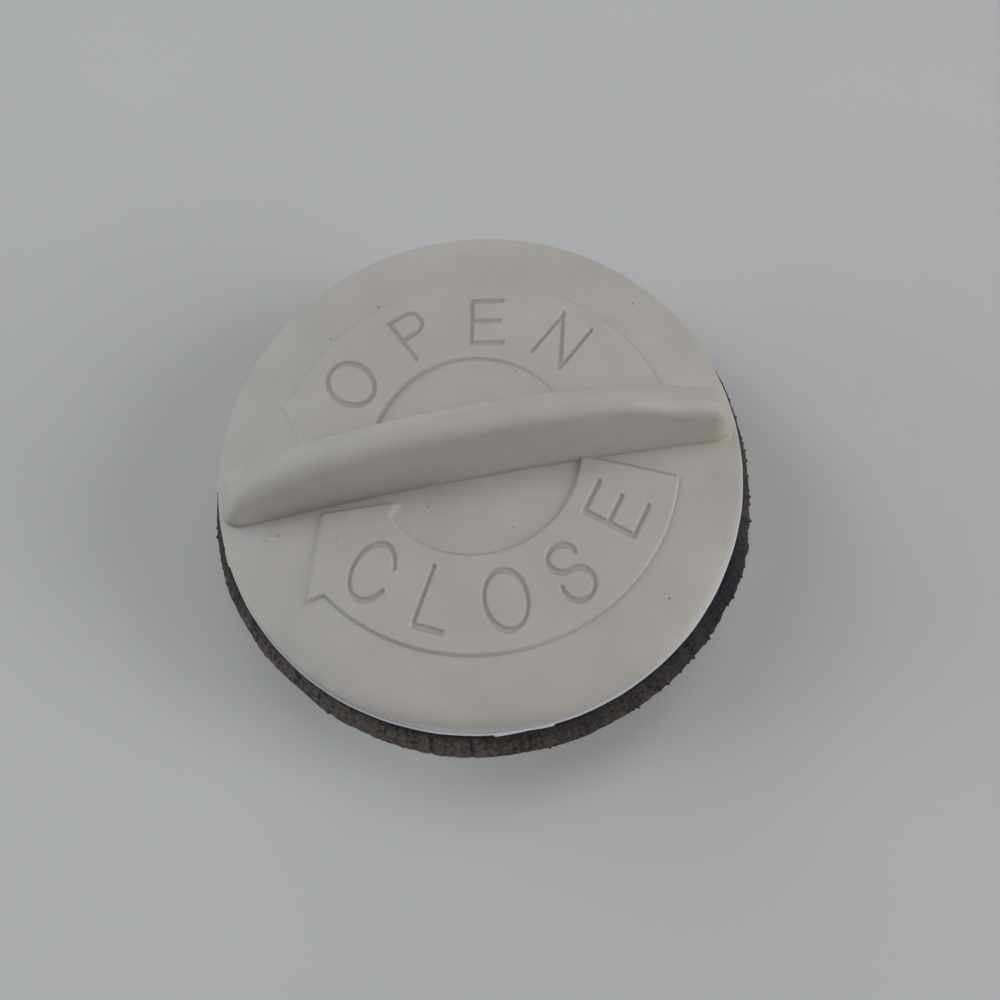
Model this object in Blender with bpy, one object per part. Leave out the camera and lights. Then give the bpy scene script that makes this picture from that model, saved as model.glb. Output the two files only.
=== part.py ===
"""Quarter-turn sealing cap: a moulded cap with a finger bar, and the sheet gasket that it turns on.

The cap stands on the foot of its plug at z = 0. +Z is up, +X runs along the finger bar, and the side
that carries the CLOSE arrow faces -Y. Lengths are in metres.
"""

import math

import bmesh
import bpy
from mathutils import Vector

MM = 0.001

# Flange: a crowned disc. Its underside is the height that the rest is measured from.
FLANGE_BOTTOM = 16.0 * MM
FLANGE_RADIUS = 30.0 * MM
CROWN_HEIGHT = 4.05 * MM  # top of the crown above the flange's underside, on the axis
CROWN_RADIUS = 154.0 * MM  # radius of the sphere that the crown is part of
SHOULDER_START = 26.4 * MM  # where the crown turns down into the rounded shoulder
RIM_HEIGHT = 0.6 * MM  # straight part of the rim

# Plug: the hollow skirt below the flange, open at its foot.
SPIGOT_RADIUS = 24.7 * MM  # step that centres the gasket
SPIGOT_DEPTH = 2.6 * MM
PLUG_RADIUS = 22.0 * MM
PLUG_WALL = 2.4 * MM
PLUG_CHAMFER = 0.8 * MM
ROOF_ABOVE_FLANGE = 0.5 * MM  # ceiling of the hollow, above the flange's underside

# Bayonet lugs, two across from each other, under the ends of the finger bar.
LUG_RADIUS = 24.5 * MM
LUG_SPAN = math.radians(38)
LUG_FOOT = 5.0 * MM
LUG_TOP_LOW = 7.6 * MM  # top face at the end that enters first
LUG_TOP_HIGH = 8.9 * MM  # top face at the other end, where it has pulled the cap down
STOP_SPAN = math.radians(6)  # rib that ends the turn, near the high end of each lug
STOP_SETBACK = math.radians(1)
STOP_INSET = 0.2 * MM  # how far in from the lug's outer wall the rib stands
STOP_LIFT = 0.4 * MM  # how far up in the lug the rib starts
LUG_ROOT = PLUG_RADIUS - PLUG_WALL / 2  # lugs and ribs start in the middle of the plug's wall

# Finger bar.
BAR_HALF_LENGTH = 28.9 * MM
BAR_HALF_WIDTH = 3.1 * MM  # at the crown
BAR_CREST = 13.4 * MM  # above the flange's underside, on the axis
BAR_ARCH_LEFT = 54.0 * MM  # the crest's arch is flatter towards +X
BAR_ARCH_RIGHT = 72.0 * MM
BAR_CREST_ROUND = 1.75 * MM  # half the width where the sides end and the rounded crest starts
BAR_ROOT = 0.8 * MM  # how far above the flange's underside the bar starts, inside the flange
BAR_FOOT_SINK = 0.3 * MM  # how far below the crown's surface the bar's sides start their draft
BAR_CORE_HALF_WIDTH = 1.0 * MM  # slot in the bar from below, which keeps its walls even
BAR_CORE_TAPER = 0.6  # its width at the top, as a share of its width at the bottom
BAR_CORE_HALF_LENGTH = 17.0 * MM
BAR_CORE_TOP = 9.6 * MM  # above the flange's underside, on the axis
BAR_END_STEPS = 8
BAR_SIDE_STEPS = 16
BAR_CREST_STEPS = 5
BAR_CORE_STEPS = 12

# Raised arrows. Angles are in degrees, counter-clockwise from +X.
ARROW_INNER = 11.5 * MM
ARROW_OUTER = 22.2 * MM
ARROW_RAISE = 0.35 * MM
ARROW_ROOT = 1.2 * MM  # how far above the flange's underside an arrow starts, inside the flange
ARROW_TRIM = 8.0 * MM  # height that an arrow is cut down from, above the flange's underside
HEAD_BARB_OUT = 23.8 * MM  # radius of the head's outer barb
HEAD_BARB_IN = 10.3 * MM  # radius of its inner barb
HEAD_TIP_RADIUS = 17.8 * MM
HEAD_TURNS = (-1.7, 4.1, 6.3, 20.2)  # from the outer barb on to its notch, inner notch, inner barb and tip
OPEN_TAIL, OPEN_BARB = 9.0, 154.0  # its tail and its tip run into the bar
CLOSE_TAIL, CLOSE_BARB = -17.5, -147.3
TAIL_SLANT = 4.6  # the tail's inner corner stands this much nearer to the bar
ARC_STEP = 7.5

# Engraved letters: single strokes on an upright cell of height 1, laid around the axis. Each letter has its
# angle, its width and its lean, in degrees counter-clockwise from upright on its own radius.
LETTER_RADIUS = 16.9 * MM  # circle through the letters' middles
OPEN_HEIGHT = 6.2 * MM
OPEN_LETTERS = (
    ("O", 138.0, 0.86, 0.0),
    ("P", 106.0, 0.53, 8.0),
    ("E", 75.8, 0.60, 6.3),
    ("N", 45.0, 0.61, 0.5),
)
CLOSE_HEIGHT = 6.5 * MM
CLOSE_LETTERS = (
    ("C", 223.0, 0.80, 0.0),
    ("L", 248.7, 0.51, -9.5),
    ("O", 272.6, 0.71, 0.0),
    ("S", 298.7, 0.67, 0.0),
    ("E", 327.6, 0.60, -4.0),
)
STROKE_TOP_WIDTH = 0.6 * MM
STROKE_BOTTOM_WIDTH = 0.3 * MM
STROKE_DEPTH = 0.3 * MM
STROKE_ABOVE = 0.3 * MM  # how far a letter's cutter stands out of the surface

# Gasket.
GASKET_TOP_RADIUS = 29.6 * MM  # the outer wall is cut on a slant
GASKET_FOOT_RADIUS = 32.0 * MM
GASKET_BORE_RADIUS = 25.0 * MM
GASKET_THICKNESS = 3.8 * MM
CLEARANCE = 0.3 * MM  # between the gasket and the flange

ROUND_STEPS = 96
CROWN_STEPS = 8
SHOULDER_STEPS = 6
LUG_STEPS = 10
STOP_STEPS = 3
ON_AXIS = 1e-9  # a profile point nearer to the axis than this is on it
SHARP_ANGLE = math.radians(30)


def clear_scene():
    for obj in list(bpy.data.objects):
        bpy.data.objects.remove(obj, do_unlink=True)


def material(name, colour, roughness):
    made = bpy.data.materials.new(name)
    made.use_nodes = True
    shader = made.node_tree.nodes["Principled BSDF"]
    shader.inputs["Base Color"].default_value = (*colour, 1.0)
    shader.inputs["Roughness"].default_value = roughness
    shader.inputs["Metallic"].default_value = 0.0
    made.diffuse_color = (*colour, 1.0)
    return made


def add_object(name, mesh_data, surface=None):
    obj = bpy.data.objects.new(name, mesh_data)
    bpy.context.scene.collection.objects.link(obj)
    if surface is not None:
        obj.data.materials.append(surface)
    return obj


def mesh_from(name, build):
    """A mesh that build(bm) fills in, with its faces turned outward."""
    bm = bmesh.new()
    build(bm)
    bmesh.ops.recalc_face_normals(bm, faces=bm.faces)
    made = bpy.data.meshes.new(name)
    bm.to_mesh(made)
    bm.free()
    return made


def turned(name, profile, steps=ROUND_STEPS):
    """A closed solid of revolution about Z, from a profile of (radius, height) points."""

    def build(bm):
        rings = []
        for radius, height in profile:
            if radius < ON_AXIS:
                rings.append([bm.verts.new((0.0, 0.0, height))])
                continue
            angles = [2 * math.pi * i / steps for i in range(steps)]
            rings.append([bm.verts.new((radius * math.cos(a), radius * math.sin(a), height)) for a in angles])
        if profile[0][0] > ON_AXIS:
            rings.append(rings[0])
        for upper, lower in zip(rings, rings[1:]):
            join_rings(bm, upper, lower)

    return mesh_from(name, build)


def join_rings(bm, first, second):
    """Faces between two rings of points, either of which may be a single point."""
    count = max(len(first), len(second))
    first = first * (count // len(first))
    second = second * (count // len(second))
    for i in range(count):
        j = (i + 1) % count
        corners = dict.fromkeys((first[i], second[i], second[j], first[j]))
        bm.faces.new(list(corners))


def prism(name, outline, bottom, top):
    """A vertical prism over a plan outline of (x, y) points."""

    def build(bm):
        lower = [bm.verts.new((x, y, bottom)) for x, y in outline]
        upper = [bm.verts.new((x, y, top)) for x, y in outline]
        bm.faces.new(lower)
        bm.faces.new(upper)
        join_rings(bm, lower, upper)

    return mesh_from(name, build)


def cutter(name, mesh_data):
    obj = add_object(name, mesh_data)
    obj.hide_render = True
    obj.display_type = "WIRE"
    return obj


def boolean(obj, other, operation):
    made = obj.modifiers.new(f"{operation.lower()}_{other.name}", "BOOLEAN")
    made.operation = operation
    made.solver = "EXACT"
    made.object = other


def crown_height(radius):
    """Height of the crown's surface at this distance from the axis."""
    sag = CROWN_RADIUS - math.sqrt(CROWN_RADIUS**2 - radius**2)
    return FLANGE_BOTTOM + CROWN_HEIGHT - sag


def crown_profile(end_radius, steps, lift=0.0):
    return [(end_radius * i / steps, crown_height(end_radius * i / steps) + lift) for i in range(steps + 1)]


def shoulder_profile(steps):
    """The rounded shoulder, a quarter of an ellipse from the crown to the rim."""
    top = crown_height(SHOULDER_START)
    rim = FLANGE_BOTTOM + RIM_HEIGHT
    reach = FLANGE_RADIUS - SHOULDER_START
    points = []
    for i in range(1, steps + 1):
        a = math.pi / 2 * i / steps
        points.append((SHOULDER_START + reach * math.sin(a), rim + (top - rim) * math.cos(a)))
    return points


def cap_body():
    inner = PLUG_RADIUS - PLUG_WALL
    roof = FLANGE_BOTTOM + ROOF_ABOVE_FLANGE
    spigot_foot = FLANGE_BOTTOM - SPIGOT_DEPTH
    profile = crown_profile(SHOULDER_START, CROWN_STEPS) + shoulder_profile(SHOULDER_STEPS)
    profile += [
        (FLANGE_RADIUS, FLANGE_BOTTOM),
        (SPIGOT_RADIUS, FLANGE_BOTTOM),
        (SPIGOT_RADIUS, spigot_foot),
        (PLUG_RADIUS, spigot_foot),
        (PLUG_RADIUS, PLUG_CHAMFER),
        (PLUG_RADIUS - PLUG_CHAMFER, 0.0),
        (inner, 0.0),
        (inner, roof),
        (0.0, roof),
    ]
    return turned("cap", profile)


def lug(name, middle_angle):
    """One bayonet lug: its top face climbs counter-clockwise to the rib that stops the turn."""
    start = middle_angle - LUG_SPAN / 2

    def build(bm):
        columns = []
        for i in range(LUG_STEPS + 1):
            share = i / LUG_STEPS
            top = LUG_TOP_LOW + (LUG_TOP_HIGH - LUG_TOP_LOW) * share
            columns.append(column_at(bm, start + LUG_SPAN * share, LUG_ROOT, LUG_RADIUS, LUG_FOOT, top))
        close_sweep(bm, columns)

    return cutter(name, mesh_from(name, build))


def stop_rib(name, middle_angle):
    """The rib from a lug's high end up into the spigot."""
    end = middle_angle + LUG_SPAN / 2 - STOP_SETBACK
    bottom = LUG_FOOT + STOP_LIFT
    top = FLANGE_BOTTOM - SPIGOT_DEPTH / 2

    def build(bm):
        columns = []
        for i in range(STOP_STEPS + 1):
            angle = end - STOP_SPAN * i / STOP_STEPS
            columns.append(column_at(bm, angle, LUG_ROOT, LUG_RADIUS - STOP_INSET, bottom, top))
        close_sweep(bm, columns)

    return cutter(name, mesh_from(name, build))


def column_at(bm, angle, inner, outer, bottom, top):
    """Four corners of an upright section in the plane through the axis at this angle."""
    direction = Vector((math.cos(angle), math.sin(angle), 0.0))
    corners = ((inner, bottom), (outer, bottom), (outer, top), (inner, top))
    return [bm.verts.new(direction * radius + Vector((0, 0, height))) for radius, height in corners]


def close_sweep(bm, columns):
    for first, second in zip(columns, columns[1:]):
        join_rings(bm, first, second)
    bm.faces.new(columns[0])
    bm.faces.new(columns[-1])


def bar_outline(inset):
    """Plan outline of the bar, this far in from its foot: a stadium with full-round ends."""
    half_width = BAR_HALF_WIDTH - inset
    straight = BAR_HALF_LENGTH - BAR_HALF_WIDTH
    points = []
    for end in (1, -1):
        for i in range(BAR_END_STEPS + 1):
            a = end * -math.pi / 2 + math.pi * i / BAR_END_STEPS
            points.append((end * (straight + half_width * math.cos(a) * end), half_width * math.sin(a)))
        for k in range(1, BAR_SIDE_STEPS):
            points.append((end * straight * (1 - 2 * k / BAR_SIDE_STEPS), end * half_width))
    return points


def bar_crest(x):
    arch = BAR_ARCH_LEFT if x < 0 else BAR_ARCH_RIGHT
    return FLANGE_BOTTOM + BAR_CREST - (arch - math.sqrt(arch**2 - x**2))


def bar_ring(bm, inset, height_at):
    return [bm.verts.new((x, y, height_at(x, y))) for x, y in bar_outline(inset)]


def finger_bar():
    """The bar as rings that climb its drafted sides and close over its rounded crest in a ridge."""
    side_inset = BAR_HALF_WIDTH - BAR_CREST_ROUND
    straight = BAR_HALF_LENGTH - BAR_HALF_WIDTH

    def root(x, y):
        return FLANGE_BOTTOM + BAR_ROOT

    def below_crown(x, y):
        return crown_height(math.hypot(x, y)) - BAR_FOOT_SINK

    def crest_at(share):
        return lambda x, y: bar_crest(x) - BAR_CREST_ROUND * (1 - share)

    def build(bm):
        rings = [bar_ring(bm, 0.0, root), bar_ring(bm, 0.0, below_crown)]
        for i in range(BAR_CREST_STEPS):
            a = math.pi / 2 * i / BAR_CREST_STEPS
            inset = side_inset + BAR_CREST_ROUND * (1 - math.cos(a))
            rings.append(bar_ring(bm, inset, crest_at(math.sin(a))))
        along = [round(max(-straight, min(straight, x)), 7) for x, _ in bar_outline(0.0)]
        ridge = {x: bm.verts.new((x, 0.0, bar_crest(x))) for x in dict.fromkeys(along)}
        rings.append([ridge[x] for x in along])
        for lower, upper in zip(rings, rings[1:]):
            join_rings(bm, lower, upper)
        bm.faces.new(rings[0])

    return cutter("bar", mesh_from("bar", build))


def bar_core():
    """The slot up into the bar from the hollow of the plug, a constant wall below the crest's arch."""

    low = BAR_CORE_HALF_WIDTH
    high = BAR_CORE_TAPER * low
    bottom = FLANGE_BOTTOM - MM

    def build(bm):
        columns = []
        for i in range(BAR_CORE_STEPS + 1):
            x = BAR_CORE_HALF_LENGTH * (2 * i / BAR_CORE_STEPS - 1)
            top = bar_crest(x) - (BAR_CREST - BAR_CORE_TOP)
            corners = ((-low, bottom), (low, bottom), (high, top), (-high, top))
            columns.append([bm.verts.new((x, y, z)) for y, z in corners])
        close_sweep(bm, columns)

    return cutter("bar_core", mesh_from("bar_core", build))


def polar(radius, degrees):
    angle = math.radians(degrees)
    return radius * math.cos(angle), radius * math.sin(angle)


def arc(radius, first, last):
    """Points of an arc about the axis, from one angle to the other, in degrees."""
    steps = max(2, round(abs(last - first) / ARC_STEP))
    return [polar(radius, first + (last - first) * i / steps) for i in range(steps + 1)]


def arrow_outline(tail, barb):
    """A curved arrow that runs from its straight tail's angle to its barbed head's."""
    way = 1 if barb > tail else -1
    notch_out, notch_in, barb_in, tip = (barb + way * turn for turn in HEAD_TURNS)
    outline = arc(ARROW_OUTER, tail, notch_out)
    outline += [polar(HEAD_BARB_OUT, barb), polar(HEAD_TIP_RADIUS, tip), polar(HEAD_BARB_IN, barb_in)]
    outline += arc(ARROW_INNER, notch_in, tail - way * TAIL_SLANT)
    return outline


def raised_arrow(name, tail, barb, lifted_crown):
    outline = arrow_outline(tail, barb)
    obj = cutter(name, prism(name, outline, FLANGE_BOTTOM + ARROW_ROOT, FLANGE_BOTTOM + ARROW_TRIM))
    boolean(obj, lifted_crown, "INTERSECT")
    return obj


def ellipse(width, first, last, height=1.0, centre=0.0, steps=24):
    """Points of an ellipse in a letter's cell, from one angle to the other, in degrees."""
    angles = [math.radians(first + (last - first) * i / steps) for i in range(steps + 1)]
    return [(width / 2 * math.cos(a), centre + height / 2 * math.sin(a)) for a in angles]


def strokes_of(letter, width):
    """(points, closed) of each stroke, in a cell of height 1 that is centred on 0, 0."""
    left, right = -width / 2, width / 2
    if letter == "O":
        return [(ellipse(width, 0, 345, steps=23), True)]
    if letter == "C":
        return [(ellipse(width, 38, 347, steps=20), False)]
    if letter == "L":
        return [([(left, 0.5), (left, -0.5), (right, -0.5)], False)]
    if letter == "N":
        stems = [([(x, -0.5), (x, 0.5)], False) for x in (left, right)]
        return stems + [([(left, 0.5), (right, -0.5)], False)]
    if letter == "E":
        return [
            ([(right, 0.5), (left, 0.5), (left, -0.5), (right, -0.5)], False),
            ([(left, 0.0), (right - 0.06, 0.0)], False),
        ]
    if letter == "P":
        bowl = [(x + right - 0.26, y) for x, y in ellipse(0.52, 90, -90, 0.5, 0.25, 10)]
        stem = [(left, -0.5), (left, 0.53)]
        return [(stem, False), ([(left - 0.02, 0.5), *bowl, (left - 0.02, 0.0)], False)]
    upper = ellipse(0.94 * width, -8, 255, 0.48, 0.26, 13)
    lower = ellipse(width, 75, -185, 0.52, -0.24, 13)
    return [(upper + lower, False)]


def across(points, i, closed):
    """Unit direction across a path at its point i, and how much wider its corner is than the path."""
    count = len(points)
    before = points[i - 1] if closed or i > 0 else points[i]
    after = points[(i + 1) % count] if closed or i < count - 1 else points[i]
    here = Vector(points[i])
    into = (here - Vector(before)).normalized() if before != points[i] else None
    out = (Vector(after) - here).normalized() if after != points[i] else None
    into, out = into or out, out or into
    along = (into + out).normalized()
    return Vector((-along.y, along.x)), 1.0 / max(0.5, along.dot(out))


def groove(name, path, closed):
    """The cutter of one stroke: a trapezoid section that follows the path over the raised arrow."""

    def build(bm):
        columns = []
        for i, (x, y) in enumerate(path):
            side, widen = across(path, i, closed)
            surface = crown_height(math.hypot(x, y)) + ARROW_RAISE
            column = []
            for half, height in (
                (-STROKE_BOTTOM_WIDTH / 2, surface - STROKE_DEPTH),
                (STROKE_BOTTOM_WIDTH / 2, surface - STROKE_DEPTH),
                (STROKE_TOP_WIDTH / 2, surface + STROKE_ABOVE),
                (-STROKE_TOP_WIDTH / 2, surface + STROKE_ABOVE),
            ):
                point = Vector((x, y)) + side * half * widen
                column.append(bm.verts.new((point.x, point.y, height)))
            columns.append(column)
        if closed:
            for first, second in zip(columns, columns[1:] + columns[:1]):
                join_rings(bm, first, second)
        else:
            close_sweep(bm, columns)

    return cutter(name, mesh_from(name, build))


def letter_cutters(word, letters, height, tops_outward):
    """The cutters of a word that runs around the axis, with each letter's top outward or inward."""
    made = []
    for place, (letter, degrees, width, lean) in enumerate(letters):
        middle = Vector(polar(LETTER_RADIUS, degrees))
        up = Vector(polar(1.0 if tops_outward else -1.0, degrees + lean))
        right = Vector((up.y, -up.x))
        for k, (points, closed) in enumerate(strokes_of(letter, width)):
            path = [tuple(middle + (right * x + up * y) * height) for x, y in points]
            made.append(groove(f"{word}_{place}_{letter}_{k}", path, closed))
    return made


def smooth(obj):
    obj.data.shade_smooth()
    obj.data.set_sharp_from_angle(angle=SHARP_ANGLE)


def build_cap():
    surface = material("cap_plastic", (0.47, 0.452, 0.424), 0.5)
    cap = add_object("cap", cap_body(), surface)
    for name, angle in (("east", 0.0), ("west", math.pi)):
        boolean(cap, lug(f"lug_{name}", angle), "UNION")
        boolean(cap, stop_rib(f"stop_{name}", angle), "UNION")
    lifted = crown_profile(SHOULDER_START, CROWN_STEPS, ARROW_RAISE)
    lifted += [(SHOULDER_START, FLANGE_BOTTOM + MM), (0.0, FLANGE_BOTTOM + MM)]
    lifted_crown = cutter("lifted_crown", turned("lifted_crown", lifted))
    boolean(cap, raised_arrow("arrow_open", OPEN_TAIL, OPEN_BARB, lifted_crown), "UNION")
    boolean(cap, raised_arrow("arrow_close", CLOSE_TAIL, CLOSE_BARB, lifted_crown), "UNION")
    boolean(cap, finger_bar(), "UNION")
    boolean(cap, bar_core(), "DIFFERENCE")
    strokes = letter_cutters("open", OPEN_LETTERS, OPEN_HEIGHT, True)
    strokes += letter_cutters("close", CLOSE_LETTERS, CLOSE_HEIGHT, False)
    for stroke in strokes:
        boolean(cap, stroke, "DIFFERENCE")
    smooth(cap)


def build_gasket():
    top = FLANGE_BOTTOM - CLEARANCE
    profile = [
        (GASKET_TOP_RADIUS, top),
        (GASKET_FOOT_RADIUS, top - GASKET_THICKNESS),
        (GASKET_BORE_RADIUS, top - GASKET_THICKNESS),
        (GASKET_BORE_RADIUS, top),
    ]
    surface = material("gasket_rubber", (0.035, 0.030, 0.027), 0.85)
    smooth(add_object("gasket", turned("gasket", profile), surface))


clear_scene()
build_cap()
build_gasket()
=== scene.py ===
"""The looks of a quarter-turn sealing cap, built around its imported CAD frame.

Shapes are worked out in millimetres, in the frame's axes: +Z up, +X along the finger bar, the CLOSE arrow
on the -Y side. to_object() turns them into metres.
"""

import math

import bpy
import numpy as np
from mathutils import Matrix, Vector, geometry


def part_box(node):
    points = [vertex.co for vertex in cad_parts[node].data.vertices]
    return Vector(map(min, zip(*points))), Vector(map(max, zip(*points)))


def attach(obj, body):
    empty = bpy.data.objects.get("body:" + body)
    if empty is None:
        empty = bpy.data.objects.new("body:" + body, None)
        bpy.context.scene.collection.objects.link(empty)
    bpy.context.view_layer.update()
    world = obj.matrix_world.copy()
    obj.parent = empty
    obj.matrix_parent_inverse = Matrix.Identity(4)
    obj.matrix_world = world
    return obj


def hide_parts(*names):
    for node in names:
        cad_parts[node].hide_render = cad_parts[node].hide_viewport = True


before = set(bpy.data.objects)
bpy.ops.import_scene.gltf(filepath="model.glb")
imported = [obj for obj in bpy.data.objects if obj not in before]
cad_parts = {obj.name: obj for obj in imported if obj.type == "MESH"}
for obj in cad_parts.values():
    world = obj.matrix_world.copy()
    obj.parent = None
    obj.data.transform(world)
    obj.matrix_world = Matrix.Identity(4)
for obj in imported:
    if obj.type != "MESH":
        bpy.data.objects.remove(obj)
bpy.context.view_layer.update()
MM = 0.001
cap_low, cap_high = (np.array(corner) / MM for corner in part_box("cap"))
gasket_low, gasket_high = (np.array(corner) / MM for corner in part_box("gasket"))

# Sizes read from the frame.
RIM = float(cap_high[0]) - 0.3  # the flange's radius, inside its thin lip of flash
CREST = float(cap_high[2])  # top of the finger bar
FOOT = float(cap_low[2])
SEAT = float(gasket_high[2]) + 0.3  # the flange's underside, a clearance above the gasket
GASKET_FOOT = float(gasket_low[2])
GASKET_RADIUS = float(gasket_high[0])

# The crowned top.
CROWN_TOP = SEAT + 4.05
CROWN_RADIUS = 154.0
BEND_WIDTH = 2.7  # the crown bends down more and more over this width inside its edge
BEND, NEAR_BEND = 0.03, 0.082  # how strongly: anywhere, and how much more around this direction
NEAR_BEND_MIDDLE, NEAR_BEND_SPAN = -102.0, 27.0  # that direction, in degrees
EDGE_REACH = 0.3  # width of the rounded edge
RIM_TOP = SEAT + 0.34  # where the rounded edge has become the upright rim
FIELD_RADIUS = RIM - 0.05  # the top is a field of heights up to here

# Finger bar: a stadium in plan, with drafted sides and a rounded crest that follows an arch.
BAR_HALF_LENGTH, BAR_HALF_WIDTH = 28.9, 3.1
BAR_ARCH_LEFT, BAR_ARCH_RIGHT = 54.0, 72.0  # the arch is flatter towards +X
BAR_DRAFT = math.tan(math.radians(9.6))
BAR_ROUND = 1.75  # height of the rounded crest
BAR_NOSE_LEFT, BAR_NOSE_RIGHT, BAR_NOSE_END = 23.6, 26.4, 29.3  # where the crest curls down to the crown
# How the bar changes along X: by how much, and where the change starts and ends.
BAR_ROUND_MORE, BAR_ROUND_SPAN = 0.85, (18.0, 26.0)  # the rounded crest gets higher
BAR_NARROW, BAR_NARROW_SPAN = 0.28, (2.0, 17.0)  # each side of the crest gets narrower
BAR_DROP, BAR_DROP_SPAN = 0.95, (16.0, 24.0)  # the crest sinks below its arch
BAR_FAR_NARROW, BAR_FAR_SPAN = 0.33, (17.0, 27.0)  # its far half is squeezed, as a share of its width
CREST_POWER, CREST_POWER_MORE, CREST_POWER_SPAN = 2.0, 0.3, (-5.0, 5.0)  # the crest gets squarer
BAR_END_POWER = 3.0  # the bar's ends are squarer in plan than a half circle
BAR_FILLET = 0.22
BAR_STRAIGHT = BAR_HALF_LENGTH - BAR_HALF_WIDTH  # half the length between its rounded ends

# Raised arrows: angles in degrees, counter-clockwise from +X.
OPEN_INNER, CLOSE_INNER = 11.45, 11.7
OUTER_X, OUTER_LONG, OUTER_SHORT = 0.1, 22.45, 22.05  # the outer edges lie on a slightly flattened circle
ARROW_RAISE = 0.38
ARROW_WALL = 0.44  # width in plan of the arrow's rounded, sloping edge
NUB, NUB_REACH, NUB_WALL = (-9.45, -4.95), 0.9, 0.5  # CLOSE's inner barb is rounder than the rest

# Engraved strokes.
STROKE_DEPTH = 0.30
STROKE_FLOOR, STROKE_EDGE = 0.10, 0.44  # half widths at the bottom and at the surface

# Pinholes and moulding marks on the top: x, y, radius, depth.
PITS = (
    (-8.25, 21.15, 0.22, 0.16), (-14.4, 18.1, 0.20, 0.12), (21.5, 15.9, 0.20, 0.12), (6.25, 8.9, 0.16, 0.10),
    (-6.0, -5.35, 0.17, 0.10), (2.75, -9.25, 0.15, 0.07), (17.5, -19.4, 0.22, 0.18), (-22.75, -5.0, 0.20, 0.12),
    (-24.3, -5.3, 0.16, 0.08), (-16.2, -6.9, 0.13, 0.07), (17.2, -18.9, 0.12, 0.06), (21.1, -3.25, 0.15, 0.05),
    (22.4, -3.3, 0.12, 0.04), (-23.6, -4.3, 0.13, 0.06), (9.3, -13.9, 0.10, 0.04),
)
GATE, GATE_REACH = (27.0, -2.4), 1.0  # the mark where the melt came in, at the +X end of the bar
PAINTED_HIGHLIGHT, PAINTED_HIGHLIGHT_REACH = (-25.7, -4.4), (1.6, 1.9)  # a painted highlight: a paler patch on the crown where the light catches it
PAINTED_HIGHLIGHT_SHARE = 0.13

# Dirt and painted shade, as a share of the most that the material shows. The letters, arrows and pinholes carry
# real dirt with painted shade in their hollows and along the foot of their walls.
LETTER_DIRT_AND_SHADE, PIT_DIRT_AND_SHADE = 0.40, 0.8
OPEN_OUTER_DIRT_AND_SHADE, OPEN_INNER_DIRT_AND_SHADE, OPEN_INNER_MORE = 0.30, 0.05, 0.5  # inner: more towards the head
CLOSE_INNER_DIRT_AND_SHADE, CLOSE_OUTER_DIRT_AND_SHADE, CLOSE_OUTER_MORE = 0.22, 0.44, 0.26  # outer: more towards the tail
# Painted shade along the bar: at its near foot, up its near side towards -X, on the crown beside it there, and on
# its near side towards +X; a darker mark on its +X end; and painted shade on the crown's rounded near edge.
BAR_FOOT_SHADE, BAR_SIDE_SHADE, BESIDE_BAR_SHADOW = 0.6, 0.75, 0.34
RIGHT_SIDE_SHADE, BAR_END_DARKENING, NEAR_EDGE_SHADE = 0.15, 0.16, 0.42

# Flash, the thin lip along the rim: how far it stands out anywhere, and where it is torn: first and last
# degree, and how much further out each of them is.
FLASH_LIP = 0.11
FLASH_TEARS = (
    (-95.6, -89.0, 0.20, 0.02), (-88.6, -83.6, 0.02, 0.18), (-171.0, -166.5, 0.10, 0.16), (172.2, 175.6, 0.22, 0.3),
)

# Plug and bayonet lugs.
SPIGOT_RADIUS, SPIGOT_FOOT = 24.7, SEAT - 2.6
PLUG_RADIUS, PLUG_WALL = 22.0, 2.4
ROOF = SEAT + 0.5
LUG_RADIUS, LUG_SPAN = 24.5, 38.0
LUG_BOTTOM, LUG_TOP_LOW, LUG_TOP_HIGH = 5.0, 7.6, 8.9
STOP_SPAN = 6.0

# Gasket.
GASKET_TOP = SEAT - 0.02
GASKET_TOP_RADIUS = 29.25
GASKET_FOOT_RADIUS = GASKET_RADIUS - 0.1
GASKET_BORE = 25.0
WALL_BULGE = 0.35  # how far the cut bulges out near its top
# Where the ring was cut narrower or wider than a circle: middle and span of each place in degrees, and by how much.
CUT_AMISS = (
    (-8, 16, -0.45), (34, 22, -0.54), (-139, 7, -0.26), (173, 13, -0.33), (-33, 9, 0.36), (-178, 7, -0.1),
)
ROUGHEST, ROUGHEST_SPAN = 328, 26  # where the cut is the most ragged, in degrees
TAGS, TAG_SPREAD = 46, 24  # torn tags at the foot of the cut, most of them around there
# How light the cut wall is, by direction round the ring: anywhere, and the middle and span of each place that
# differs, and by how much.
WALL_TONE = 0.42
WALL_TONE_PLACES = ((232, 36, 1.0), (354, 10, 0.25), (320, 9, -0.3))

# Camera, light and table.
CAMERA_ELEVATION, CAMERA_AZIMUTH, CAMERA_ROLL = 71.24, -0.34, 9.94  # degrees
CAMERA_AIM, CAMERA_DISTANCE = (1.9, -6.1, SEAT + 4.0), 91.34
CAMERA_LENS, CAMERA_SENSOR = 30.6, 36.0
TABLE_HALF, TABLE_STEPS = 1500.0, 12
BOX_DISTANCE, BOX_SIZE = 2.2, 0.92  # metres; the boxes stand outside the table
WARM, COOL, NEUTRAL = (1.0, 0.99, 0.96), (0.955, 0.985, 1.0), (1.0, 0.985, 1.0)
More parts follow.
